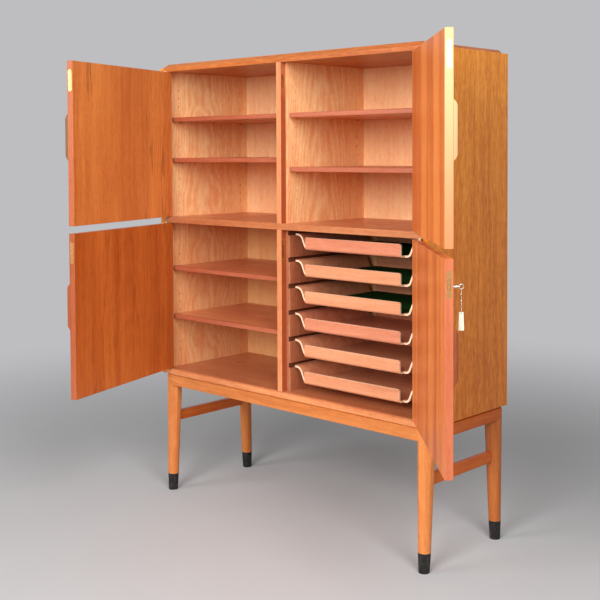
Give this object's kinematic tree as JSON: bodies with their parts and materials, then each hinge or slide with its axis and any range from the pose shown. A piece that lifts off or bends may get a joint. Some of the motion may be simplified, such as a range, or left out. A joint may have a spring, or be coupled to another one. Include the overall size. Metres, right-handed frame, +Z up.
{
  "type": "storage cabinet",
  "caption": "Free-standing wooden storage cabinet on a legged stand, with inset doors, adjustable shelves, sliding trays and a lock.",
  "frame": {"origin": "on the floor, at the centre of the carcass's footprint, doors not counted", "axes": "+X to the right as seen from the front, +Y from the front to the back, +Z up"},
  "size_m": [1.4778, 0.8925, 1.4545],
  "materials": {
    "carcass_wood": "oiled satin",
    "door_wood": "oiled satin",
    "inner_wood": "oiled satin",
    "shelf_wood": "oiled satin",
    "stand_wood": "lacquered satin",
    "tray_ply": "clear matt",
    "pull_wood": "oiled satin",
    "felt": "short nap",
    "brass": "brushed, aged",
    "ferrule_black": "scuffed matt",
    "steel": "brushed",
    "tag_cloth": "matt"
  },
  "bodies": {
    "carcass": {"leg_front_left": "stand_wood", "leg_front_right": "stand_wood", "leg_back_left": "stand_wood", "leg_back_right": "stand_wood", "leg_ferrules": "ferrule_black", "front_apron": "stand_wood", "back_apron": "stand_wood", "left_apron": "stand_wood", "right_apron": "stand_wood", "left_stretcher": "stand_wood", "right_stretcher": "stand_wood", "top_board": "carcass_wood", "bottom_board": "carcass_wood", "left_side": "carcass_wood", "right_side": "carcass_wood", "back_panel": "inner_wood", "middle_board": "carcass_wood", "upper_divider": "inner_wood", "lower_divider": "inner_wood", "wall_linings": "inner_wood", "tray_guides": "inner_wood", "carcass_hinge_leaves": "brass", "strike_plates": "brass", "shelf_pins": "brass", "upper_left_shelf_high": "shelf_wood", "upper_left_shelf_low": "shelf_wood", "upper_right_shelf_high": "shelf_wood", "upper_right_shelf_low": "shelf_wood", "lower_left_shelf_high": "shelf_wood", "lower_left_shelf_low": "shelf_wood"},
    "upper_left_door": {"upper_left_door": "door_wood", "upper_left_pull": "pull_wood", "upper_left_door_leaves": "brass", "upper_left_edge_plate": "brass"},
    "upper_right_door": {"upper_right_door": "door_wood", "upper_right_pull": "pull_wood", "upper_right_door_leaves": "brass", "upper_right_edge_plate": "brass"},
    "lower_left_door": {"lower_left_door": "door_wood", "lower_left_pull": "pull_wood", "lower_left_door_leaves": "brass", "lower_left_edge_plate": "brass"},
    "lower_right_door": {"lower_right_door": "door_wood", "lower_right_pull": "pull_wood", "lower_right_door_leaves": "brass", "lock_case": "brass"},
    "lock_bolt": {"lock_bolt": "steel"},
    "key": {"key": "steel"},
    "key_chain": {"key_chain": "steel", "key_tag": "tag_cloth"},
    "tray_1": {"tray_1": "tray_ply", "tray_lining_1": "felt"},
    "tray_2": {"tray_2": "tray_ply", "tray_lining_2": "felt"},
    "tray_3": {"tray_3": "tray_ply", "tray_lining_3": "felt"},
    "tray_4": {"tray_4": "tray_ply"},
    "tray_5": {"tray_5": "tray_ply"},
    "tray_6": {"tray_6": "tray_ply"}
  },
  "joints": [
    {"name": "upper_left_door_hinge", "type": "hinge", "parent": "carcass", "child": "upper_left_door", "pos_m": [-0.536, -0.195, 1.184], "axis": [0, 0, -1], "range_deg": [-72.5, 102.5]},
    {"name": "upper_right_door_hinge", "type": "hinge", "parent": "carcass", "child": "upper_right_door", "pos_m": [0.536, -0.195, 1.184], "axis": [0, 0, 1], "range_deg": [-135, 40]},
    {"name": "lower_left_door_hinge", "type": "hinge", "parent": "carcass", "child": "lower_left_door", "pos_m": [-0.536, -0.195, 0.67075], "axis": [0, 0, -1], "range_deg": [-72.5, 102.5]},
    {"name": "lower_right_door_hinge", "type": "hinge", "parent": "carcass", "child": "lower_right_door", "pos_m": [0.536, -0.195, 0.67075], "axis": [0, 0, 1], "range_deg": [-135, 40]},
    {"name": "tray_1_slide", "type": "slide", "parent": "carcass", "child": "tray_1", "axis": [0, -1, 0], "range_m": [0, 0.25]},
    {"name": "tray_2_slide", "type": "slide", "parent": "carcass", "child": "tray_2", "axis": [0, -1, 0], "range_m": [0, 0.25]},
    {"name": "tray_3_slide", "type": "slide", "parent": "carcass", "child": "tray_3", "axis": [0, -1, 0], "range_m": [0, 0.25]},
    {"name": "tray_4_slide", "type": "slide", "parent": "carcass", "child": "tray_4", "axis": [0, -1, 0], "range_m": [0, 0.25]},
    {"name": "tray_5_slide", "type": "slide", "parent": "carcass", "child": "tray_5", "axis": [0, -1, 0], "range_m": [0, 0.25]},
    {"name": "tray_6_slide", "type": "slide", "parent": "carcass", "child": "tray_6", "axis": [0, -1, 0], "range_m": [0, 0.25]},
    {"name": "key_turn", "type": "hinge", "parent": "lower_right_door", "child": "key", "pos_m": [0.88574, -0.54473, 0.853], "axis": [-0.7071, -0.7071, 0], "range_deg": [0, 90]},
    {"name": "bolt_slide", "type": "slide", "parent": "lower_right_door", "child": "lock_bolt", "axis": [0.7071, -0.7071, 0], "range_m": [0, 0.007]},
    {"name": "key_chain_swing", "type": "hinge", "parent": "key", "child": "key_chain", "pos_m": [0.90154, -0.52893, 0.8476], "axis": [0.7071, 0.7071, 0], "range_deg": [-90, 90]}
  ],
  "couplings": [
    {"joint": "key_turn", "follows": "bolt_slide", "rad_per_m": 224.4}
  ]
}
